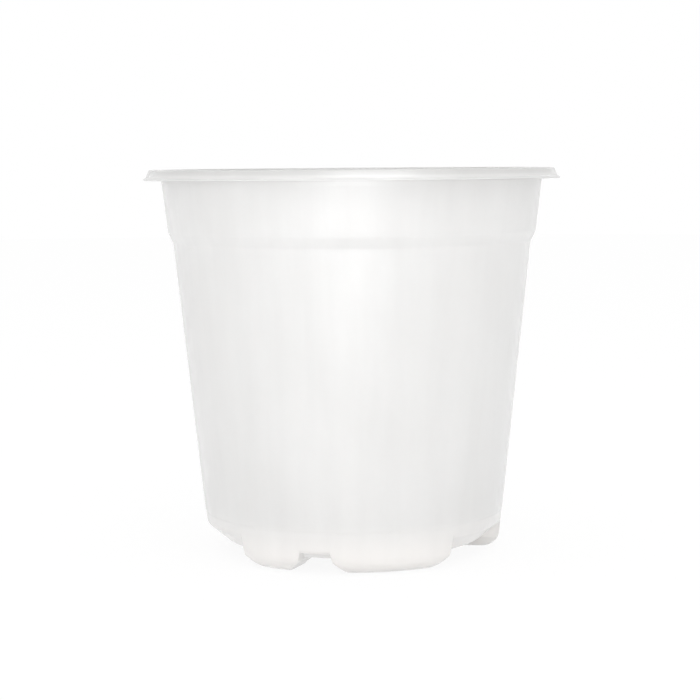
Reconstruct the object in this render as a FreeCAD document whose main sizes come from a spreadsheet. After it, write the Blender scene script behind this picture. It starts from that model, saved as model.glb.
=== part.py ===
"""Round orchid pot in thin frosted plastic, 15 cm across the lip.

The pot is one moulding. Its wall runs from a down-turned rim through a collar and
a shoulder to a rounded heel, and the heel is cut into five hollow feet round a
raised, slotted floor. Each region of that moulding is a solid of its own here, and
neighbours meet face to face.

The axis is Z and the feet stand on Z = 0. The gap between the two wide feet faces
-Y, and the feet are alike to the left and right of it.
"""
import FreeCAD, Part
import Sketcher
import math
import os

# Driving sizes in millimetres and degrees: name, value, meaning.
SIZES = (
    ("pot_height", 138.4, "floor to the top of the rim"),
    ("wall", 0.9, "thickness of the moulding"),
    ("lip_reach", 1.0, "lip beyond the foot of the skirt"),
    ("lip_tip", 0.5, "thickness of the lip at its tip"),
    ("lip_rise", 1.0, "height of the lip where it leaves the skirt"),
    ("rim_depth", 3.8, "top of the rim to the underside of the lip"),
    ("rim_plate", 1.5, "thickness of the flat top of the rim"),
    ("skirt_flare", 0.3, "skirt wider at its foot than at its top"),
    ("rim_round", 0.6, "rounding of the outer top edge"),
    ("mouth_round", 0.4, "rounding of the inner top edge"),
    ("mouth_radius", 68.9, "outside of the collar carried up to the rim"),
    ("rim_width", 6.1, "tip of the lip, the widest point, beyond the collar"),
    ("collar_depth", 22.4, "top of the rim to the shoulder"),
    ("collar_taper", 2.55, "collar narrower at the shoulder than at the rim"),
    ("shoulder_depth", 3.8, "height of the shoulder"),
    ("shoulder_inset", 1.85, "side wall narrower than the collar"),
    ("base_radius", 52.7, "outside of the side wall carried down to the floor"),
    ("heel_step", 0.12, "heel narrower than the side wall"),
    ("heel_round", 7.0, "rounding of the feet between wall and sole"),
    ("notch_height", 7.8, "height where the roof of a notch leaves the wall"),
    ("gap_height", 11.2, "height where the wider panels leave the wall"),
    ("heel_land", 0.8, "wall left whole above the wider panels"),
    ("band_depth", 3.5, "height of the heel band up to the mould line"),
    ("floor_height", 4.6, "underside of the pot's floor"),
    ("floor_thickness", 1.0, "thickness of the pot's floor"),
    ("roof_inset", 6.7, "edge of the level floor inside the side wall carried down"),
    ("foot_depth", 11.5, "edge of the level floor in to the inner wall of a foot"),
    ("riser_lean", 2.5, "inner wall of a foot leans out by this much down to its sole"),
    ("flank_run", 5.0, "side of a foot leans in by this much down to its sole"),
    ("front_angle", 42.6, "angle between the two wide feet"),
    ("wide_angle", 24.0, "half the angle of a wide foot"),
    ("notch_angle", 12.4, "angle between a wide foot and the narrow foot beside it"),
    ("narrow_angle", 12.9, "half the angle of a narrow foot"),
    ("slot_width", 2.6, "width of every drain slot"),
    ("slot_on_floor", 4.0, "how far a foot's slots run in over the floor"),
    ("slot_on_sole", 3.0, "how far a foot's slots run out over its sole"),
    ("foot_slot_pitch", 10.5, "angle between the slots of a wide foot"),
    ("floor_slot_start", 11.0, "inner end of the slots in the floor"),
    ("floor_land", 8.5, "floor left whole between its slots and the feet"),
    ("gate_radius", 6.0, "recess round the moulding gate"),
    ("gate_depth", 0.3, "depth of that recess"),
    ("overrun", 2.0, "how far a cut runs past the surface it opens"),
)
FLOOR_SLOTS = 8
WIDE_FOOT_SLOTS = 3

# Heights and radii that follow from the driving sizes, as expressions.
FLANGE_UNDER = "(sizes.pot_height - sizes.rim_plate)"
LIP_UNDER = "(sizes.pot_height - sizes.rim_depth)"
LIP_RADIUS = "(sizes.mouth_radius + sizes.rim_width)"
SKIRT_FOOT = f"({LIP_RADIUS} - sizes.lip_reach)"
SKIRT_TOP = f"({SKIRT_FOOT} - sizes.skirt_flare)"
COLLAR_FOOT = "(sizes.pot_height - sizes.collar_depth)"
SHOULDER_FOOT = f"({COLLAR_FOOT} - sizes.shoulder_depth)"
COLLAR_RADIUS = "(sizes.mouth_radius - sizes.collar_taper)"
SHOULDER_RADIUS = f"({COLLAR_RADIUS} - sizes.shoulder_inset)"
COLLAR_SLOPE = "(sizes.collar_taper / sizes.collar_depth)"
WALL_SLOPE = f"(({SHOULDER_RADIUS} - sizes.base_radius) / {SHOULDER_FOOT})"
FLOOR_TOP = "(sizes.floor_height + sizes.floor_thickness)"
WIDE_CENTRE = "(sizes.front_angle / 2 + sizes.wide_angle)"
NOTCH_CENTRE = f"({WIDE_CENTRE} + sizes.wide_angle + sizes.notch_angle / 2)"
NARROW_CENTRE = f"({NOTCH_CENTRE} + sizes.notch_angle / 2 + sizes.narrow_angle)"
BACK_CENTRE = f"(({NARROW_CENTRE} + 180) / 2)"
BACK_ANGLE = f"(180 - {NARROW_CENTRE} - 2 * sizes.narrow_angle)"
HEEL_HEIGHT = "(sizes.gap_height + sizes.heel_land)"
HEEL_LINE = f"({HEEL_HEIGHT} + sizes.band_depth)"
ROOF_RADIUS = "(sizes.base_radius - sizes.roof_inset)"
RISER_RADIUS = f"({ROOF_RADIUS} - sizes.foot_depth)"
SOLE_RADIUS = f"({RISER_RADIUS} + sizes.riser_lean)"
RISER_SLOPE = "(sizes.riser_lean / sizes.floor_height)"
FLANK_SLOPE = "(sizes.flank_run / sizes.floor_height)"


def collar_radius(height):
    """Outside of the collar at a height."""
    return f"({COLLAR_RADIUS} + {COLLAR_SLOPE} * ({height} - {COLLAR_FOOT}))"


def wall_radius(height):
    """Outside of the side wall at a height."""
    return f"(sizes.base_radius + {WALL_SLOPE} * ({height}))"


def heel_radius(height):
    """Outside of the heel at a height, one small step inside the side wall."""
    return f"({wall_radius(height)} - sizes.heel_step)"


def inner_radius(height):
    """Inside of the side wall and of the heel at a height."""
    return f"({wall_radius(height)} - sizes.wall)"


def make_sheet(doc):
    """Put the driving sizes in a spreadsheet, one aliased cell each."""
    sheet = doc.addObject("Spreadsheet::Sheet", "sizes")
    for row, (name, value, meaning) in enumerate(SIZES, start=1):
        sheet.set(f"A{row}", name)
        sheet.set(f"B{row}", str(value))
        sheet.set(f"C{row}", meaning)
        sheet.setAlias(f"B{row}", name)
    doc.recompute()
    return sheet


def origin_plane(body, role):
    """The body's own origin plane or axis with that role."""
    return next(item for item in body.Origin.OriginFeatures if item.Role == role)


def new_body(doc, name, yaw="0"):
    """A body turned about the pot's axis; yaw 0 looks along -Y."""
    body = doc.addObject("PartDesign::Body", name)
    body.Label = name
    body.Placement = FreeCAD.Placement(
        FreeCAD.Vector(0, 0, 0), FreeCAD.Rotation(FreeCAD.Vector(0, 0, 1), -90))
    body.setExpression("Placement.Rotation.Angle", f"{yaw} - 90")
    return body


def new_sketch(body, name, role, turn=None):
    """A sketch on an origin plane, turned about the pot's axis where turn is given."""
    sketch = body.newObject("Sketcher::SketchObject", name)
    sketch.AttachmentSupport = [(origin_plane(body, role), "")]
    sketch.MapMode = "FlatFace"
    if turn is not None:
        axis = FreeCAD.Vector(0, 0, 1) if role == "XY_Plane" else FreeCAD.Vector(0, 1, 0)
        sketch.AttachmentOffset = FreeCAD.Placement(
            FreeCAD.Vector(0, 0, 0), FreeCAD.Rotation(axis, 1))
        sketch.setExpression("AttachmentOffset.Rotation.Angle", turn)
    return sketch


def bind(sketch, kind, geometry, point, expression, start=1):
    """Hold a point's distance from the sketch origin to an expression."""
    index = sketch.addConstraint(Sketcher.Constraint(kind, -1, 1, geometry, point, start))
    sketch.setExpression(f"Constraints[{index}]", expression)


def polygon(body, name, corners, role="XZ_Plane", turn=None):
    """A closed polygon whose corners are pairs of expressions."""
    sketch = new_sketch(body, name, role, turn)
    count = len(corners)
    angles = [2 * math.pi * index / count for index in range(count)]
    start = [FreeCAD.Vector(math.cos(angle), math.sin(angle), 0) for angle in angles]
    for index in range(count):
        sketch.addGeometry(Part.LineSegment(start[index], start[(index + 1) % count]), False)
    for index in range(count):
        following = (index + 1) % count
        sketch.addConstraint(Sketcher.Constraint("Coincident", index, 2, following, 1))
    for index, (across, up) in enumerate(corners):
        bind(sketch, "DistanceX", index, 1, across)
        bind(sketch, "DistanceY", index, 1, up)
    return sketch


def revolve(body, sketch, angle="360", cut=False):
    """Turn a section about the pot's axis, half to each side of its plane."""
    kind = "PartDesign::Groove" if cut else "PartDesign::Revolution"
    feature = body.newObject(kind, sketch.Label + "_turned")
    feature.Profile = sketch
    feature.ReferenceAxis = (sketch, ["V_Axis"])
    feature.Midplane = True
    feature.setExpression("Angle", angle)
    body.Document.recompute()
    return feature


def cut_through(body, sketch):
    """Pocket a sketch right through the body, both ways."""
    feature = body.newObject("PartDesign::Pocket", sketch.Label + "_cut")
    feature.Profile = sketch
    feature.Type = "ThroughAll"
    feature.Midplane = True
    body.Document.recompute()
    return feature


def mirror(body, feature):
    """Repeat a cut on the other side of the body's own XZ plane."""
    copy = body.newObject("PartDesign::Mirrored", feature.Label + "_mirrored")
    copy.Originals = [feature]
    copy.MirrorPlane = (origin_plane(body, "XZ_Plane"), [""])
    body.Tip = copy
    body.Document.recompute()
    return copy


def repeat(body, feature, count, angle="360"):
    """Repeat a cut round the pot's axis."""
    copy = body.newObject("PartDesign::PolarPattern", feature.Label + "_repeated")
    copy.Originals = [feature]
    copy.Axis = (origin_plane(body, "Z_Axis"), [""])
    copy.Occurrences = count
    copy.setExpression("Angle", angle)
    body.Tip = copy
    body.Document.recompute()
    return copy


def is_level(curve):
    """True for a circle that lies level, round the pot's axis."""
    return isinstance(curve, Part.Circle) and math.isclose(abs(curve.Axis.z), 1)


def round_circle(body, feature, name, radius, choose):
    """Round the level circular edge that choose ranks highest."""
    edges = feature.Shape.Edges
    level = [index for index, edge in enumerate(edges) if is_level(edge.Curve)]
    best = max(level, key=lambda index: choose(edges[index].Curve))
    fillet = body.newObject("PartDesign::Fillet", name)
    fillet.Base = (feature, [f"Edge{best + 1}"])
    fillet.setExpression("Radius", radius)
    body.Document.recompute()
    return fillet


def ring(doc, name, corners):
    """A full ring of the moulding from its section."""
    body = new_body(doc, name)
    return body, revolve(body, polygon(body, name + "_section", corners))


def sloped_ring(doc, name, top, foot, outer):
    """A ring of the wall between two heights, one wall thick."""
    corners = (
        (outer(foot), foot),
        (outer(top), top),
        (f"{outer(top)} - sizes.wall", top),
        (f"{outer(foot)} - sizes.wall", foot),
    )
    return ring(doc, name, corners)[0]


def make_rim_flange(doc):
    """Flat top of the rim, rounded inside and outside."""
    inside = f"({collar_radius(FLANGE_UNDER)} - sizes.wall)"
    corners = (
        (inside, FLANGE_UNDER),
        (SKIRT_TOP, FLANGE_UNDER),
        (SKIRT_TOP, "sizes.pot_height"),
        ("sizes.mouth_radius - sizes.wall", "sizes.pot_height"),
    )
    body, flange = ring(doc, "rim_flange", corners)
    rounded = round_circle(body, flange, "outer_edge", "sizes.rim_round",
                           lambda circle: circle.Center.z + circle.Radius)
    round_circle(body, rounded, "mouth_edge", "sizes.mouth_round",
                 lambda circle: circle.Center.z - circle.Radius)
    return body


def make_rim_skirt(doc):
    """Skirt that hangs from the flange, with the small lip at its foot."""
    corners = (
        (f"{SKIRT_FOOT} - sizes.wall", LIP_UNDER),
        (LIP_RADIUS, LIP_UNDER),
        (LIP_RADIUS, f"{LIP_UNDER} + sizes.lip_tip"),
        (SKIRT_FOOT, f"{LIP_UNDER} + sizes.lip_rise"),
        (SKIRT_TOP, FLANGE_UNDER),
        (f"{SKIRT_TOP} - sizes.wall", FLANGE_UNDER),
    )
    return ring(doc, "rim_skirt", corners)[0]


def make_shoulder(doc):
    """Bevel that steps the collar in to the side wall."""
    corners = (
        (SHOULDER_RADIUS, SHOULDER_FOOT),
        (COLLAR_RADIUS, COLLAR_FOOT),
        (f"{COLLAR_RADIUS} - sizes.wall", COLLAR_FOOT),
        (f"{SHOULDER_RADIUS} - sizes.wall", SHOULDER_FOOT),
    )
    return ring(doc, "shoulder", corners)[0]


def make_heel_band(doc):
    """Foot of the wall below the mould line, a hair narrower outside."""
    corners = (
        (heel_radius(HEEL_HEIGHT), HEEL_HEIGHT),
        (heel_radius(HEEL_LINE), HEEL_LINE),
        (inner_radius(HEEL_LINE), HEEL_LINE),
        (inner_radius(HEEL_HEIGHT), HEEL_HEIGHT),
    )
    return ring(doc, "heel_band", corners)[0]


def panel_inside(top):
    """Upper face of a panel that leaves the wall at that height, from the floor out."""
    reach = inner_radius(top)
    slope = f"(({top} - sizes.floor_height) / ({heel_radius(top)} - {ROOF_RADIUS}))"
    rise = f"{slope} * ({reach} - {ROOF_RADIUS}) + sizes.wall * sqrt(1 + {slope}^2)"
    return (
        (ROOF_RADIUS, FLOOR_TOP),
        (reach, f"sizes.floor_height + {rise}"),
        (inner_radius(HEEL_HEIGHT), HEEL_HEIGHT),
    )


def make_panel(doc, name, angle, yaw, top):
    """Bevelled panel between two feet, which leaves the wall at the height top."""
    corners = (
        (ROOF_RADIUS, "sizes.floor_height"),
        *panel_inside(top),
        (heel_radius(HEEL_HEIGHT), HEEL_HEIGHT),
        (heel_radius(top), top),
    )
    body = new_body(doc, name, yaw)
    revolve(body, polygon(body, name + "_section", corners), angle)
    return body


def lean_flanks(body, half_angle, inset):
    """Slope both sides of a foot, or of its hollow, inset by a wall."""
    over = "sizes.overrun"
    corners = (
        (f"{over} - {inset}", f"sizes.floor_height + {over} / {FLANK_SLOPE}"),
        (f"-sizes.flank_run - {over} * {FLANK_SLOPE} - {inset}", f"-{over}"),
        (f"{over} - {inset}", f"-{over}"),
    )
    flank = polygon(body, body.Label + "_flank", corners, "YZ_Plane", half_angle)
    mirror(body, cut_through(body, flank))


def round_heel(body, feature, radius):
    """Round the outer lower corner of a foot section."""
    return round_circle(body, feature, body.Label + "_heel", radius,
                        lambda circle: circle.Radius - 2 * circle.Center.z)


def make_foot_block(doc, name, half_angle):
    """Outside of a foot, still solid."""
    body = new_body(doc, name)
    corners = (
        (heel_radius(HEEL_HEIGHT), HEEL_HEIGHT),
        (heel_radius("0"), "0"),
        (SOLE_RADIUS, "0"),
        (RISER_RADIUS, "sizes.floor_height"),
        (RISER_RADIUS, FLOOR_TOP),
        *panel_inside("sizes.gap_height"),
    )
    block = revolve(body, polygon(body, name + "_section", corners), f"2 * {half_angle}")
    round_heel(body, block, "sizes.heel_round")
    lean_flanks(body, half_angle, "0")
    return body


def make_foot_hollow(doc, name, half_angle):
    """Inside of a foot, one wall smaller all round and open at the top."""
    body = new_body(doc, name)
    top = f"{HEEL_HEIGHT} + sizes.overrun"
    riser = f"(sizes.wall * sqrt(1 + {RISER_SLOPE}^2) - sizes.wall * {RISER_SLOPE})"
    corners = (
        (inner_radius(HEEL_HEIGHT), top),
        (inner_radius(HEEL_HEIGHT), HEEL_HEIGHT),
        (inner_radius("sizes.wall"), "sizes.wall"),
        (f"{SOLE_RADIUS} + {riser}", "sizes.wall"),
        (f"{RISER_RADIUS} + sizes.wall", FLOOR_TOP),
        (f"{RISER_RADIUS} + sizes.wall", top),
    )
    end_wall = f"sizes.wall / {ROOF_RADIUS} * 180 / pi"
    hollow = revolve(body, polygon(body, name + "_section", corners),
                     f"2 * ({half_angle} - {end_wall})")
    round_heel(body, hollow, "sizes.heel_round - sizes.wall")
    lean_flanks(body, half_angle, f"sizes.wall * sqrt(1 + {FLANK_SLOPE}^2)")
    return body


def riser_value(sheet):
    """Radius of the inner wall of a foot as a number, for drawing slots near their places."""
    return sheet.base_radius - sheet.roof_inset - sheet.foot_depth


def foot_slot_ends(sheet):
    """Inner and outer end of the slots that cross into the feet, each bound and as a number."""
    riser = riser_value(sheet)
    return (
        (f"{RISER_RADIUS} - sizes.slot_on_floor", riser - sheet.slot_on_floor),
        (f"{SOLE_RADIUS} + sizes.slot_on_sole", riser + sheet.riser_lean + sheet.slot_on_sole),
    )


def floor_slot_ends(sheet):
    """Inner and outer end of the slots in the floor, each bound and as a number."""
    return (
        ("sizes.floor_slot_start", sheet.floor_slot_start),
        (f"{RISER_RADIUS} - sizes.floor_land", riser_value(sheet) - sheet.floor_land),
    )


def slot_sketch(body, sheet, name, ends, turn="0"):
    """A slot with round ends that points away from the pot's axis."""
    sketch = new_sketch(body, name, "XY_Plane", turn)
    half = sheet.slot_width / 2
    (start, first), (end, last) = ends
    first += half
    last -= half
    up = FreeCAD.Vector(0, 0, 1)
    quarter = math.pi / 2
    near = Part.Circle(FreeCAD.Vector(first, 0, 0), up, half)
    far = Part.Circle(FreeCAD.Vector(last, 0, 0), up, half)
    sketch.addGeometry(Part.ArcOfCircle(near, quarter, 3 * quarter), False)
    sketch.addGeometry(Part.LineSegment(
        FreeCAD.Vector(first, -half, 0), FreeCAD.Vector(last, -half, 0)), False)
    sketch.addGeometry(Part.ArcOfCircle(far, -quarter, quarter), False)
    sketch.addGeometry(Part.LineSegment(
        FreeCAD.Vector(last, half, 0), FreeCAD.Vector(first, half, 0)), False)
    for index in range(4):
        following = (index + 1) % 4
        sketch.addConstraint(Sketcher.Constraint("Tangent", index, 2, following, 1))
    sketch.addConstraint(Sketcher.Constraint("PointOnObject", 0, 3, -1))
    sketch.addConstraint(Sketcher.Constraint("PointOnObject", 2, 3, -1))
    sketch.addConstraint(Sketcher.Constraint("Equal", 0, 2))
    radius = sketch.addConstraint(Sketcher.Constraint("Radius", 0, half))
    sketch.setExpression(f"Constraints[{radius}]", "sizes.slot_width / 2")
    bind(sketch, "DistanceX", 0, 3, f"{start} + sizes.slot_width / 2", first)
    bind(sketch, "DistanceX", 2, 3, f"{end} - sizes.slot_width / 2", last)
    return sketch


def make_foot(doc, sheet, name, half_angle, yaw, slots):
    """Hollow foot of the moulding with its drain slots."""
    block = make_foot_block(doc, name + "_block", half_angle)
    hollow = make_foot_hollow(doc, name + "_hollow", half_angle)
    first = f"-({slots} - 1) / 2 * sizes.foot_slot_pitch"
    sketch = slot_sketch(block, sheet, name + "_slot", foot_slot_ends(sheet), first)
    slot = cut_through(block, sketch)
    if slots > 1:
        repeat(block, slot, slots, f"({slots} - 1) * sizes.foot_slot_pitch")
    foot = doc.addObject("Part::Cut", name)
    foot.Label = name
    foot.Base = block
    foot.Tool = hollow
    foot.Placement = FreeCAD.Placement(
        FreeCAD.Vector(0, 0, 0), FreeCAD.Rotation(FreeCAD.Vector(0, 0, 1), 1))
    foot.setExpression("Placement.Rotation.Angle", yaw)
    doc.recompute()
    return foot


def window(body, name, half_angle, turn):
    """Opening in the floor over a foot, cut as a part turn of a rectangle."""
    inner, outer = RISER_RADIUS, f"{ROOF_RADIUS} + sizes.overrun"
    low, high = "sizes.floor_height - sizes.overrun", f"{FLOOR_TOP} + sizes.overrun"
    corners = ((inner, low), (outer, low), (outer, high), (inner, high))
    section = polygon(body, name, corners, "XZ_Plane", turn)
    return revolve(body, section, f"2 * {half_angle}", cut=True)


def foot_openings(body, sheet, name, half_angle, centre, slots):
    """Window and slots in the floor over one foot, as a list of cuts."""
    cuts = [window(body, name + "_window", half_angle, centre)]
    for index in range(slots):
        turn = f"{centre} + ({index} - ({slots} - 1) / 2) * sizes.foot_slot_pitch"
        sketch = slot_sketch(body, sheet, f"{name}_slot_{index + 1}",
                             foot_slot_ends(sheet), turn)
        cuts.append(cut_through(body, sketch))
    return cuts


def make_floor_plate(doc, sheet):
    """Raised floor with a window over each foot, slots and a gate recess."""
    body = new_body(doc, "floor_plate")
    corners = (
        ("0", "sizes.floor_height"),
        (ROOF_RADIUS, "sizes.floor_height"),
        (ROOF_RADIUS, FLOOR_TOP),
        ("sizes.gate_radius", FLOOR_TOP),
        ("sizes.gate_radius", f"{FLOOR_TOP} - sizes.gate_depth"),
        ("0", f"{FLOOR_TOP} - sizes.gate_depth"),
    )
    revolve(body, polygon(body, "floor_section", corners))
    foot_openings(body, sheet, "back_foot", "sizes.narrow_angle", "180", 1)
    for name, half_angle, centre, slots in (
            ("wide_foot", "sizes.wide_angle", WIDE_CENTRE, WIDE_FOOT_SLOTS),
            ("narrow_foot", "sizes.narrow_angle", NARROW_CENTRE, 1)):
        for cut in foot_openings(body, sheet, name, half_angle, centre, slots):
            mirror(body, cut)
    centre = slot_sketch(body, sheet, "floor_slot", floor_slot_ends(sheet))
    repeat(body, cut_through(body, centre), FLOOR_SLOTS)
    return body


def make_feet(doc, sheet):
    """A wide and a narrow foot on either side, and a narrow one at the back."""
    feet = []
    for side, sign in (("right", ""), ("left", "-")):
        feet.append(make_foot(doc, sheet, f"foot_wide_{side}", "sizes.wide_angle",
                              f"{sign}{WIDE_CENTRE}", WIDE_FOOT_SLOTS))
        feet.append(make_foot(doc, sheet, f"foot_narrow_{side}", "sizes.narrow_angle",
                              f"{sign}{NARROW_CENTRE}", 1))
    feet.append(make_foot(doc, sheet, "foot_narrow_back", "sizes.narrow_angle", "180", 1))
    return feet


def make_panels(doc):
    """The panel between the wide feet, the notch roofs and the panels at the back."""
    panels = [make_panel(doc, "front_panel", "sizes.front_angle", "0", "sizes.gap_height")]
    for side, sign in (("right", ""), ("left", "-")):
        panels.append(make_panel(doc, f"notch_panel_{side}", "sizes.notch_angle",
                                 f"{sign}{NOTCH_CENTRE}", "sizes.notch_height"))
        panels.append(make_panel(doc, f"back_panel_{side}", BACK_ANGLE,
                                 f"{sign}{BACK_CENTRE}", "sizes.gap_height"))
    return panels


def check(doc, parts):
    """Stop if any object failed or any piece is not one sound solid."""
    for item in doc.Objects:
        if {"Invalid", "Error"} & set(item.State):
            raise RuntimeError(f"{item.Label} did not compute: {item.State}")
    for part in parts:
        if part.Shape.isNull() or not part.Shape.isValid():
            raise RuntimeError(f"{part.Label} has no sound shape")
        if len(part.Shape.Solids) != 1:
            raise RuntimeError(f"{part.Label} is {len(part.Shape.Solids)} solids")


def main():
    """Build the pot and write one file for each piece."""
    doc = FreeCAD.newDocument("orchid_pot")
    sheet = make_sheet(doc)
    parts = [
        make_rim_flange(doc),
        make_rim_skirt(doc),
        sloped_ring(doc, "collar", FLANGE_UNDER, COLLAR_FOOT, collar_radius),
        make_shoulder(doc),
        sloped_ring(doc, "side_wall", SHOULDER_FOOT, HEEL_LINE, wall_radius),
        make_heel_band(doc),
        *make_feet(doc, sheet),
        *make_panels(doc),
        make_floor_plate(doc, sheet),
    ]
    doc.recompute()
    check(doc, parts)
    os.makedirs("parts", exist_ok=True)
    for part in parts:
        part.Shape.exportStep(os.path.join("parts", part.Label + ".step"))
        box = part.Shape.BoundBox
        print(f"{part.Label}: {part.Shape.Volume:.0f} mm3, Z {box.ZMin:.2f} to {box.ZMax:.2f}")


main()
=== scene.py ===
import math

import bmesh
import bpy
from mathutils import Matrix, Vector


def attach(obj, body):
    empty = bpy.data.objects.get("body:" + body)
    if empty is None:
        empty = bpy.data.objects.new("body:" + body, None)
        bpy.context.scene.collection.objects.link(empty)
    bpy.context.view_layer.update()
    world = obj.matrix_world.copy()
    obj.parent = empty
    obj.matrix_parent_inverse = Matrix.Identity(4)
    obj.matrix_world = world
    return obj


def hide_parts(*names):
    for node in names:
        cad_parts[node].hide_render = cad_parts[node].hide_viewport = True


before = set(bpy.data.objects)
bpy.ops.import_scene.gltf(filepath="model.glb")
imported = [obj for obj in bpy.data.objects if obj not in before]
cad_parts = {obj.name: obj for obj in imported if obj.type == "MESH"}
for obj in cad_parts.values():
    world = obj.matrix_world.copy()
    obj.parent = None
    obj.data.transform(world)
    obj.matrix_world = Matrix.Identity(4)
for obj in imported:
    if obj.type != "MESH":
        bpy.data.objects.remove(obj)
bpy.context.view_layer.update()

# An orchid pot: one moulding of frosted plastic on a white floor.
# Sizes are in millimetres and angles in degrees. A section point is a radius and a height.
MM = 0.001
WALL = 0.9

# Rim: the flat top is rounded at the mouth and outside, and the skirt ends in a thin lip.
MOUTH_START = (68.0, 137.6)
MOUTH_CENTRE, MOUTH_ROUND = (68.4, 138.0), 0.4
TOP_RUN = ((68.4, 138.4), (72.3, 138.4))
TOP_CENTRE, TOP_ROUND = (72.3, 137.5), 0.9
SKIRT_RUN = ((73.21, 137.5), (73.93, 135.85))
LIP_POINTS = (
    (74.04, 135.62), (74.25, 135.46), (74.6, 135.3), (74.85, 135.16), (74.97, 135.02), (75.0, 134.85),
    (74.96, 134.68), (74.85, 134.6), (74.5, 134.6), (73.9, 134.6), (73.4, 134.6), (73.2, 134.66), (73.12, 134.85))
INSIDE_RUN = ((73.12, 134.85), (72.45, 136.5))
INSIDE_POINTS = ((72.32, 136.75), (72.05, 136.88), (71.7, 136.9))
UNDER_RUN = ((71.7, 136.9), (69.4, 136.9))
UNDER_POINTS = ((69.05, 136.86), (68.8, 136.7), (68.68, 136.4))
NECK_HEIGHT = 136.9

# Collar, shoulder and side wall. The shoulder's two corners are rounded by the offsets given here.
COLLAR_TOP, COLLAR_FOOT = (68.9, 138.4), (66.35, 116.0)
COLLAR_HEIGHTS = (135.6, 134.6, 130.0, 124.0, 118.6, 117.2)
SHOULDER_FOOT = (64.5, 112.2)
UPPER_CORNER = ((0.03, 0.45), (-0.05, -0.02), (-0.12, -0.3))
LOWER_CORNER = ((0.18, 0.35), (0.04, 0.02), (-0.04, -0.45))
BASE_RADIUS, WALL_SLOPE = 52.7, 0.10517
WALL_HEIGHTS = (110.8, 109.0, 97.0, 84.0, 71.0, 58.0, 45.0, 32.0, 20.0, 17.0, 15.9, 15.5, 15.25, 15.0)
HEEL_LINE, HEEL_STEP, HEEL_BLEND = 15.5, 0.12, 0.5

# Base: the floor, and the feet, notches and wider gaps round it.
BASE_TOP = 15.0
FLOOR_LOW, FLOOR_TOP = 4.6, 5.6
ROOF_RADIUS, SOLE_RADIUS, RISER_RADIUS = 46.0, 37.0, 34.5
RISER_SHIFT = 0.62
HEEL_ROUND = 7.0
HEEL_CORNER = 6.3
NOTCH_TOP, GAP_TOP = 7.8, 11.2
NOTCH_EDGES = (69.3, 81.7)
FLANK_RUN, FLANK_EASE = 5.0, 1.3
EDGE_EASE, PANEL_EASE = 1.0, 0.8
# Each foot: the angle of its middle, half its width as an angle, and its number of slots.
FEET = ((-94.6, 12.9, 1), (-45.3, 24.0, 3), (45.3, 24.0, 3), (94.6, 12.9, 1), (180.0, 12.9, 1))
FLOOR_RADII = (33.0, 24.0, 15.0, 7.0)
GATE_RADIUS, GATE_DEPTH, GATE_LEAN = 6.0, 0.3, 0.1
MIDDLE_RADIUS = 3.0
SLOT_HALF, SLOT_PITCH = 1.3, 10.5
FOOT_SLOT, FLOOR_SLOT = (30.5, 40.0), (11.0, 26.0)
FLOOR_SLOT_COUNT = 8
CUT_LOW, CUT_HIGH = -3.0, 9.0
END_POINTS = 13

# Density of the mesh. Columns lie close together beside each flank, at these angles into the foot.
FLANK_STEPS = (
    -2.6, -1.7, -1.1, -0.85, -0.66, -0.5, -0.36, -0.22, -0.08, 0.06, 0.2, 0.34, 0.48, 0.62, 0.76, 0.9,
    1.04, 1.18, 1.32, 1.46, 1.6, 1.75, 2.0, 2.5, 3.2, 4.0, 4.7, 5.2, 5.6, 6.0, 6.4, 7.0, 7.8)
LEAST_STEP, MOST_STEP = 0.02, 1.8
FLAT_SHARES = (0.12, 0.88, 1.0)
DRAFT_COUNTS = (40, 40, 30, 20)
ROW_COUNTS = (9, 20, 9, 8)
SHARP_ANGLE = 50

# Colours: a pair is for the darker and lighter clouds. The painted shade multiplies them by share of the height: it
# darkens a faint band just above the feet, the top of the collar, and most of all the lip, skirt and top of the rim.
CLOUD_STOPS = (0.35, 0.65)
BODY_COLOURS = ((0.926, 0.921, 0.913), (0.956, 0.953, 0.947))
# The feet's pair is warmer, and painted lighter as light from the floor below.
FEET_TINT_AND_PAINTED_LIGHT = ((0.934, 0.911, 0.890), (0.956, 0.938, 0.920))
FEET_HEIGHTS = (0.004, 0.019)
POT_HEIGHT = 0.1384
# Painted shade: each stop is a share of the pot's height and the colour it multiplies by.
PAINTED_SHADE_BY_HEIGHT = (
    (0.11, (1.0, 1.0, 1.0)), (0.125, (0.982, 0.982, 0.982)),
    (0.18, (0.982, 0.982, 0.982)), (0.3, (1.0, 1.0, 1.0)),
    (0.85, (1.0, 1.0, 1.0)), (0.970, (0.985, 0.985, 0.985)),
    (0.9725, (0.93, 0.93, 0.928)), (0.985, (0.93, 0.93, 0.928)),
    (0.9875, (0.835, 0.835, 0.831)), (0.994, (0.81, 0.81, 0.806)), (1.0, (0.77, 0.77, 0.766)))
FLOW_TONES = ((0.3, (0.972, 0.972, 0.972)), (0.6, (1, 1, 1)))
FLOW_STRETCH = (1.0, 1.0, 0.06)
CALM_HEIGHTS = (0.133, 0.1345)

CAMERA_AZIMUTH, CAMERA_TILT, CAMERA_ROLL = -60.7, 5.55, -0.43
CAMERA_PLACE = (-0.6166, -0.3460, 0.1412)


def lerp(a, b, t):
    return a + (b - a) * t


def smooth(t):
    t = min(max(t, 0.0), 1.0)
    return t * t * (3 - 2 * t)


def soft_max(a, b, width):
    """The larger of two heights, rounded where they cross."""
    near = max(width - abs(a - b), 0.0) / width
    return max(a, b) + near * near * width / 4


def turned(angle):
    """The same angle between -180 and 180."""
    return (angle + 180) % 360 - 180


def shifted(point, by):
    return point[0] + by[0], point[1] + by[1]


def between(start, end, shares):
    return [(lerp(start[0], end[0], t), lerp(start[1], end[1], t)) for t in shares]


def run(start, end, count):
    """Evenly spaced points from start to end, without the start."""
    return between(start, end, [i / count for i in range(1, count + 1)])


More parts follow.
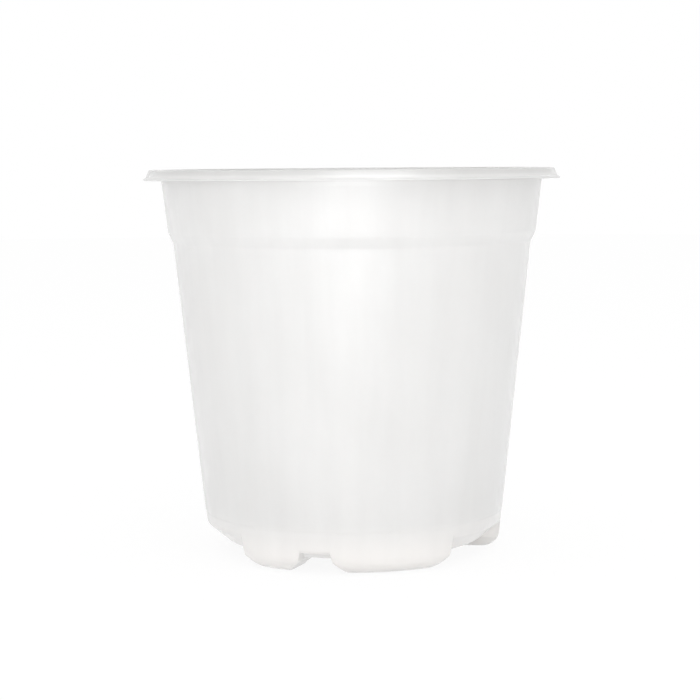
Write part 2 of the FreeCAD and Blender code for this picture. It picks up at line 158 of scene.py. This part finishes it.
def flat(start, end):
    """A straight run without its start, with a row near each end, so that it is shaded flat between them."""
    return between(start, end, FLAT_SHARES)


def arc(centre, radius, first, last, count):
    points = []
    for i in range(count):
        a = math.radians(lerp(first, last, i / (count - 1)))
        points.append((centre[0] + radius * math.cos(a), centre[1] + radius * math.sin(a)))
    return points


def eased(line, rounds=2):
    """A line with its corners rounded and its ends kept."""
    for _ in range(rounds):
        line = [line[0]] + [
            ((a[0] + 2 * b[0] + c[0]) / 4, (a[1] + 2 * b[1] + c[1]) / 4)
            for a, b, c in zip(line, line[1:], line[2:])] + [line[-1]]
    return line


def resample(line, count):
    """Evenly spaced points along a line, without its first."""
    lengths = [0.0]
    for p, q in zip(line, line[1:]):
        lengths.append(lengths[-1] + math.dist(p, q))
    total = lengths[-1]
    points, k = [], 0
    for i in range(1, count + 1):
        want = total * i / count
        while k < len(line) - 2 and lengths[k + 1] < want:
            k += 1
        part = lengths[k + 1] - lengths[k]
        t = (want - lengths[k]) / part if part > 1e-9 else 1.0
        points += between(line[k], line[k + 1], [t])
    return points


def wall_radius(z, inner):
    """Side wall. Outside, it is a hair smaller below the mould line."""
    drop = WALL if inner else HEEL_STEP * smooth((HEEL_LINE - z) / HEEL_BLEND)
    return BASE_RADIUS + WALL_SLOPE * z - drop


def heel_radius(z):
    """Outside of the wall below the mould line."""
    return BASE_RADIUS - HEEL_STEP + WALL_SLOPE * z


def collar_radius(z):
    share = (z - COLLAR_FOOT[1]) / (COLLAR_TOP[1] - COLLAR_FOOT[1])
    return lerp(COLLAR_FOOT[0], COLLAR_TOP[0], share)


def rim_section():
    """Mouth, flat top, skirt, lip and the underside, to where the collar leaves the rim."""
    points = [MOUTH_START] + arc(MOUTH_CENTRE, MOUTH_ROUND, 180, 90, 5)
    points += flat(*TOP_RUN) + arc(TOP_CENTRE, TOP_ROUND, 90, 8, 8)[1:]
    points += flat(*SKIRT_RUN) + list(LIP_POINTS)
    points += flat(*INSIDE_RUN) + list(INSIDE_POINTS)
    return points + flat(*UNDER_RUN) + list(UNDER_POINTS)


def upper_wall(inner):
    """Collar, shoulder and side wall, to just below the mould line."""
    drop = WALL if inner else 0.0
    corner, foot = shifted(COLLAR_FOOT, (-drop, 0.0)), shifted(SHOULDER_FOOT, (-drop, 0.0))
    upper = [shifted(corner, by) for by in UPPER_CORNER]
    lower = [shifted(foot, by) for by in LOWER_CORNER]
    points = [(collar_radius(z) - drop, z) for z in COLLAR_HEIGHTS]
    points += upper[:2] + flat(upper[2], lower[0]) + lower[1:]
    return points + [(wall_radius(z, inner), z) for z in WALL_HEIGHTS]


def nearest_flank(theta):
    """How far the angle is into a foot from its nearest flank, and the height of the panel beside that flank."""
    best = None
    for centre, half, _ in FEET:
        off = turned(theta - centre)
        for side in (-1, 1):
            depth = half - side * off
            if best is None or abs(depth) < abs(best[0]):
                edge = abs(turned(centre + side * half))
                notch = any(abs(edge - e) < 0.1 for e in NOTCH_EDGES)
                best = (depth, NOTCH_TOP if notch else GAP_TOP)
    return best


def foot_profile(inner):
    """Section of a foot: down the wall, round the heel, along the sole and up the riser."""
    drop = WALL if inner else 0.0
    lean = math.degrees(math.atan(WALL_SLOPE))
    centre = (heel_radius(HEEL_ROUND) - HEEL_ROUND / math.cos(math.radians(lean)), HEEL_ROUND)
    top = (heel_radius(BASE_TOP) - drop, BASE_TOP)
    sole_end = (SOLE_RADIUS + (RISER_SHIFT if inner else 0.0), drop)
    riser_top = (RISER_RADIUS + drop, FLOOR_TOP if inner else FLOOR_LOW)
    wall_count, heel_count, sole_count, riser_count = DRAFT_COUNTS
    heel = arc(centre, HEEL_ROUND - drop, -lean, -90, heel_count)
    wall = [top] + run(top, heel[0], wall_count)
    return wall, heel[1:], run(heel[-1], sole_end, sole_count), run(sole_end, riser_top, riser_count)


def gap_height(r, top, inner):
    """Bevelled panel over a gap, and the level floor inside it."""
    slope = (top - FLOOR_LOW) / (heel_radius(top) - ROOF_RADIUS)
    lift = WALL * math.sqrt(1 + slope * slope) if inner else 0.0
    level = FLOOR_TOP if inner else FLOOR_LOW
    return soft_max(level, FLOOR_LOW + slope * (r - ROOF_RADIUS) + lift, PANEL_EASE)


def base_column(theta, inner):
    """Section of the base at one angle. Every column has the same number of rows, with the corners in the same ones."""
    depth, top = nearest_flank(theta)
    shift = math.degrees(WALL / ROOF_RADIUS) if inner else 0.0
    lift = WALL * math.sqrt(1 + (FLOOR_LOW / FLANK_RUN) ** 2) if inner else 0.0
    blend = smooth(0.5 - (depth - shift) / FLANK_EASE)
    into = math.radians(max(depth, 0.0))

    def limit(r):
        """Lowest height at a radius: the leaning flank in a foot, the panel in a gap."""
        lean = FLOOR_LOW * (1 - r * math.sin(into) / FLANK_RUN) + lift
        return lerp(max(lean, -EDGE_EASE), gap_height(r, top, inner), blend)

    profile = foot_profile(inner)
    wall, heel, sole, _ = profile
    line = [(r, soft_max(z, limit(r), EDGE_EASE)) for part in profile for r, z in part]
    # The kept points: the start, the corner under the wall, the edge of the level floor, the riser's foot, its top.
    corner = lerp(HEEL_CORNER, top + (WALL if inner else 0.0), blend)
    low = min(range(len(wall)), key=lambda i: abs(wall[i][1] - corner))
    edge = min(range(low + 1, len(line)), key=lambda i: abs(line[i][0] - ROOF_RADIUS))
    keys = (0, low, edge, len(wall) + len(heel) + len(sole) - 1, len(line) - 1)
    rows = []
    for first, last, count in zip(keys, keys[1:], ROW_COUNTS):
        rows += resample(line[first:last + 1], count)
    return eased(rows)


def floor_rows(inner):
    """Level floor from the riser to the middle, where the inside has the shallow gate recess."""
    z = FLOOR_TOP if inner else FLOOR_LOW
    points = [(r, z) for r in FLOOR_RADII]
    if inner:
        points += [(GATE_RADIUS + GATE_LEAN, z), (GATE_RADIUS - GATE_LEAN, z - GATE_DEPTH)]
        z -= GATE_DEPTH
    return points + [(MIDDLE_RADIUS, z)]


def column_angles():
    """Angles of the columns: even round the pot, and close together beside each flank."""
    dense = []
    for centre, half, _ in FEET:
        for side in (-1, 1):
            dense += [(centre + side * half - side * step) % 360 for step in FLANK_STEPS]
    merged = []
    for a in sorted(dense):
        if not merged or a - merged[-1] > LEAST_STEP:
            merged.append(a)
    filled = []
    for a, b in zip(merged, merged[1:] + [merged[0] + 360]):
        count = math.ceil((b - a) / MOST_STEP)
        filled += [a + (b - a) * i / count for i in range(count)]
    return filled


def place(r, z, theta):
    a = math.radians(theta)
    return Vector((r * math.sin(a), -r * math.cos(a), z)) * MM


def to_mesh(bm, name):
    bmesh.ops.recalc_face_normals(bm, faces=bm.faces)
    mesh = bpy.data.meshes.new(name)
    bm.to_mesh(mesh)
    bm.free()
    return mesh


def shell_mesh():
    """The whole moulding as one closed skin, outside and inside, joined at the mouth."""
    angles = column_angles()
    count = len(angles)
    rim = rim_section()
    neck = [(collar_radius(NECK_HEIGHT) - WALL, NECK_HEIGHT)]
    bm = bmesh.new()
    mouths = []
    for inner in (False, True):
        upper, level = (neck if inner else rim) + upper_wall(inner), floor_rows(inner)
        sections = [upper + base_column(theta, inner) + level for theta in angles]
        grid = [[bm.verts.new(place(r, z, theta)) for r, z in section] for theta, section in zip(angles, sections)]
        pole = bm.verts.new((0, 0, level[-1][1] * MM))
        for c in range(count):
            one, two = grid[c], grid[(c + 1) % count]
            for k in range(len(one) - 1):
                bm.faces.new((one[k], two[k], two[k + 1], one[k + 1]))
            bm.faces.new((one[-1], two[-1], pole))
        mouths.append([column[0] for column in grid])
    outer, inner = mouths
    for c in range(count):
        d = (c + 1) % count
        bm.faces.new((outer[d], outer[c], inner[c], inner[d]))
    return to_mesh(bm, "pot_moulding")


def slot_cutter():
    """Every drain slot as one mesh of upright prisms with round ends."""
    slots = [(FLOOR_SLOT, k * 360.0 / FLOOR_SLOT_COUNT) for k in range(FLOOR_SLOT_COUNT)]
    for centre, _, count in FEET:
        slots += [(FOOT_SLOT, centre + (k - (count - 1) / 2) * SLOT_PITCH) for k in range(count)]
    bm = bmesh.new()
    for (start, end), theta in slots:
        outline = arc((start + SLOT_HALF, 0.0), SLOT_HALF, 90, 270, END_POINTS)
        outline += arc((end - SLOT_HALF, 0.0), SLOT_HALF, -90, 90, END_POINTS)
        t = math.radians(theta)
        out, across = Vector((math.sin(t), -math.cos(t), 0)), Vector((math.cos(t), math.sin(t), 0))
        low, high = (
            [bm.verts.new((out * x + across * y + Vector((0, 0, z))) * MM) for x, y in outline]
            for z in (CUT_LOW, CUT_HIGH))
        for i in range(len(outline)):
            j = (i + 1) % len(outline)
            bm.faces.new((low[i], low[j], high[j], high[i]))
        bm.faces.new(low[::-1])
        bm.faces.new(high)
    return to_mesh(bm, "slot_cutter")


def link(name, data):
    obj = bpy.data.objects.new(name, data)
    bpy.context.scene.collection.objects.link(obj)
    return obj


def cut_slots(obj):
    """Cuts the slots out of the mesh itself, so that no modifier is left."""
    cutter = link("slot_cutter", slot_cutter())
    change = obj.modifiers.new("slots", "BOOLEAN")
    change.operation = "DIFFERENCE"
    change.solver = "EXACT"
    change.object = cutter
    graph = bpy.context.evaluated_depsgraph_get()
    mesh = bpy.data.meshes.new_from_object(obj.evaluated_get(graph))
    obj.modifiers.clear()
    old, obj.data = obj.data, mesh
    cutter_mesh = cutter.data
    bpy.data.objects.remove(cutter)
    for unused in (old, cutter_mesh):
        bpy.data.meshes.remove(unused)
    mesh.name = "pot_moulding"


class Graph:
    """A node tree, with short calls for its nodes. A value is a number, a colour or another node's output."""

    def __init__(self, tree):
        self.nodes, self.links = tree.nodes, tree.links

    def plug(self, value, socket):
        if isinstance(value, bpy.types.NodeSocket):
            self.links.new(value, socket)
        else:
            socket.default_value = value

    def add(self, kind, inputs=(), **settings):
        """A new node; the inputs are pairs of a socket's name or number and a value."""
        node = self.nodes.new("ShaderNode" + kind)
        for name, setting in settings.items():
            setattr(node, name, setting)
        for socket, value in inputs:
            self.plug(value, node.inputs[socket])
        return node

    def noise(self, vector, scale, detail):
        return self.add("TexNoise", (("Vector", vector), ("Scale", scale), ("Detail", detail))).outputs["Fac"]

    def ramp(self, value, stops):
        node = self.add("ValToRGB", (("Fac", value),))
        elements = node.color_ramp.elements
        while len(elements) < len(stops):
            elements.new(stops[len(elements)][0])
        for element, (position, colour) in zip(elements, stops):
            element.position = position
            element.color = (*colour, 1)
        return node.outputs["Color"]

    def remap(self, value, old, new, **settings):
        inputs = (("Value", value), ("From Min", old[0]), ("From Max", old[1]), ("To Min", new[0]), ("To Max", new[1]))
        return self.add("MapRange", inputs, **settings).outputs["Result"]

    def math(self, operation, first, second):
        return self.add("Math", ((0, first), (1, second)), operation=operation).outputs["Value"]

    def blend(self, kind, factor, first, second):
        inputs = (("Factor", factor), ("A", first), ("B", second))
        return self.add("Mix", inputs, data_type="RGBA", blend_type=kind).outputs["Result"]

    def bump(self, strength, distance, height, normal=None):
        inputs = [("Strength", strength), ("Distance", distance), ("Height", height)]
        if normal is not None:
            inputs.append(("Normal", normal))
        return self.add("Bump", inputs).outputs["Normal"]

    def mix_shaders(self, factor, first, second):
        return self.add("MixShader", ((0, factor), (1, first), (2, second))).outputs["Shader"]


def frosted_plastic():
    """Milky, uncoloured plastic with a soft sheen: cloudy inside, faint upright flow marks, fine surface grain."""
    mat = bpy.data.materials.new("frosted_plastic")
    mat.use_nodes = True
    graph = Graph(mat.node_tree)
    shader = graph.nodes["Principled BSDF"]
    where = graph.add("TexCoord").outputs["Object"]
    height = graph.add("SeparateXYZ", (("Vector", where),)).outputs["Z"]
    stretched = graph.add("Mapping", (("Vector", where), ("Scale", FLOW_STRETCH))).outputs["Vector"]
    cloud = graph.noise(where, 26.0, 4.0)
    flow = graph.noise(stretched, 150.0, 3.0)
    grain = graph.noise(where, 900.0, 3.0)

    # The feet are warmer, and painted lighter as light from the floor below; the rim is painted darker as shade.
    in_feet = graph.remap(height, FEET_HEIGHTS, (1.0, 0.0), interpolation_type="SMOOTHSTEP")
    body, feet_painted_light = (graph.ramp(cloud, tuple(zip(CLOUD_STOPS, pair))) for pair in (BODY_COLOURS, FEET_TINT_AND_PAINTED_LIGHT))
    colour = graph.blend("MIX", in_feet, body, feet_painted_light)
    # Painted shade by height: a faint band above the feet, the top of the collar, and the rim's lip, skirt and top
    # darker.
    painted_shade = graph.ramp(graph.remap(height, (0.0, POT_HEIGHT), (0.0, 1.0)), PAINTED_SHADE_BY_HEIGHT)
    colour = graph.blend("MULTIPLY", 1.0, colour, painted_shade)
    colour = graph.blend("MULTIPLY", 1.0, colour, graph.ramp(flow, FLOW_TONES))

    # The flow marks all but end below the rim.
    calm = graph.remap(height, CALM_HEIGHTS, (1.0, 0.08))
    waves = graph.bump(0.25, 0.0004, graph.math("MULTIPLY", flow, calm))

    for socket, value in (
            ("Base Color", colour),
            ("IOR", 1.49),
            ("Specular IOR Level", 0.7),
            ("Transmission Weight", graph.remap(in_feet, (0.0, 1.0), (0.5, 0.32))),
            ("Roughness", graph.remap(flow, (0.3, 0.7), (0.34, 0.5))),
            ("Coat Weight", 1.0),
            ("Coat IOR", 2.0),
            ("Coat Roughness", 0.26),
            ("Normal", graph.bump(0.15, 0.0002, grain, waves)),
            ("Coat Normal", waves)):
        graph.plug(value, shader.inputs[socket])
    return mat


def background_share(graph):
    """1 for rays that show the background: straight to the camera, mirrored or seen through the plastic."""
    path = graph.add("LightPath").outputs
    seen = graph.math("MAXIMUM", path["Is Camera Ray"], path["Is Glossy Ray"])
    return graph.math("MAXIMUM", seen, path["Is Transmission Ray"])


def white_floor():
    """Matte white; what the camera sees is part white background, so that the soft shadow stays pale."""
    mat = bpy.data.materials.new("floor_white")
    mat.use_nodes = True
    graph = Graph(mat.node_tree)
    shader = graph.nodes["Principled BSDF"]
    shader.inputs["Base Color"].default_value = (0.95, 0.95, 0.95, 1)
    shader.inputs["Roughness"].default_value = 0.9
    shader.inputs["Specular IOR Level"].default_value = 0.0
    glow = graph.add("Emission", (("Color", (1, 1, 1, 1)), ("Strength", 1.0)))
    share = graph.math("MULTIPLY", background_share(graph), 0.9)
    mixed = graph.mix_shaders(share, shader.outputs["BSDF"], glow.outputs["Emission"])
    graph.plug(mixed, graph.nodes["Material Output"].inputs["Surface"])
    return mat


def floor_mesh():
    bm = bmesh.new()
    bmesh.ops.create_circle(bm, cap_ends=True, segments=96, radius=3.0)
    mesh = bpy.data.meshes.new("floor")
    bm.to_mesh(mesh)
    bm.free()
    return mesh


def white_world():
    """Plain soft light from all round, with a background of full white."""
    world = bpy.data.worlds.new("studio")
    world.use_nodes = True
    graph = Graph(world.node_tree)
    sky = graph.nodes["Background"]
    sky.inputs["Color"].default_value = (1, 1, 1, 1)
    sky.inputs["Strength"].default_value = 0.96
    seen = graph.add("Background", (("Color", (1, 1, 1, 1)), ("Strength", 1.0)))
    mixed = graph.mix_shaders(background_share(graph), sky.outputs["Background"], seen.outputs["Background"])
    graph.plug(mixed, graph.nodes["World Output"].inputs["Surface"])
    return world


def lamp(name, place, target, size, power):
    data = bpy.data.lights.new(name, "AREA")
    data.shape = "RECTANGLE"
    data.size, data.size_y = size
    data.energy = power
    obj = link(name, data)
    obj.location = place
    obj.rotation_euler = (Vector(target) - Vector(place)).to_track_quat("-Z", "Y").to_euler()


def around(right, forward, up):
    """A point given from the camera's side: to its right, away from it, and up."""
    a = math.radians(CAMERA_AZIMUTH)
    ahead = Vector((-math.sin(a), math.cos(a), 0))
    aside = Vector((math.cos(a), math.sin(a), 0))
    return aside * right + ahead * forward + Vector((0, 0, up))


def add_camera():
    data = bpy.data.cameras.new("camera")
    data.sensor_width = 36.0
    data.lens = 100.23
    data.shift_x = -2.7 / 700
    data.clip_start, data.clip_end = 0.01, 20.0
    camera = link("camera", data)
    camera.matrix_world = (
        Matrix.Translation(CAMERA_PLACE)
        @ Matrix.Rotation(math.radians(CAMERA_AZIMUTH), 4, "Z")
        @ Matrix.Rotation(math.radians(90 - CAMERA_TILT), 4, "X")
        @ Matrix.Rotation(math.radians(CAMERA_ROLL), 4, "Z"))
    bpy.context.scene.camera = camera


pot = link("pot_moulding", shell_mesh())
cut_slots(pot)
pot.data.shade_smooth()
pot.data.set_sharp_from_angle(angle=math.radians(SHARP_ANGLE))
pot.data.materials.clear()
pot.data.materials.append(frosted_plastic())
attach(pot, "root")
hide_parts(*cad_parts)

floor = link("floor", floor_mesh())
floor.data.materials.append(white_floor())

bpy.context.scene.world = white_world()
lamp("low_strip", around(0.0, -1.25, 0.12), (0, 0, 0.12), (1.0, 0.08), 3.8)
lamp("high_front", around(0.18, -0.85, 1.0), (0, 0, 0.13), (0.9, 0.5), 2.2)
lamp("left_fill", around(-1.2, -0.6, 0.35), (0, 0, 0.07), (0.8, 0.5), 0.9)
lamp("top", (0, 0, 1.4), (0, 0, 0.1), (1.2, 1.2), 2.0)
add_camera()
bpy.context.scene.view_settings.view_transform = "Standard"

bpy.context.view_layer.update()
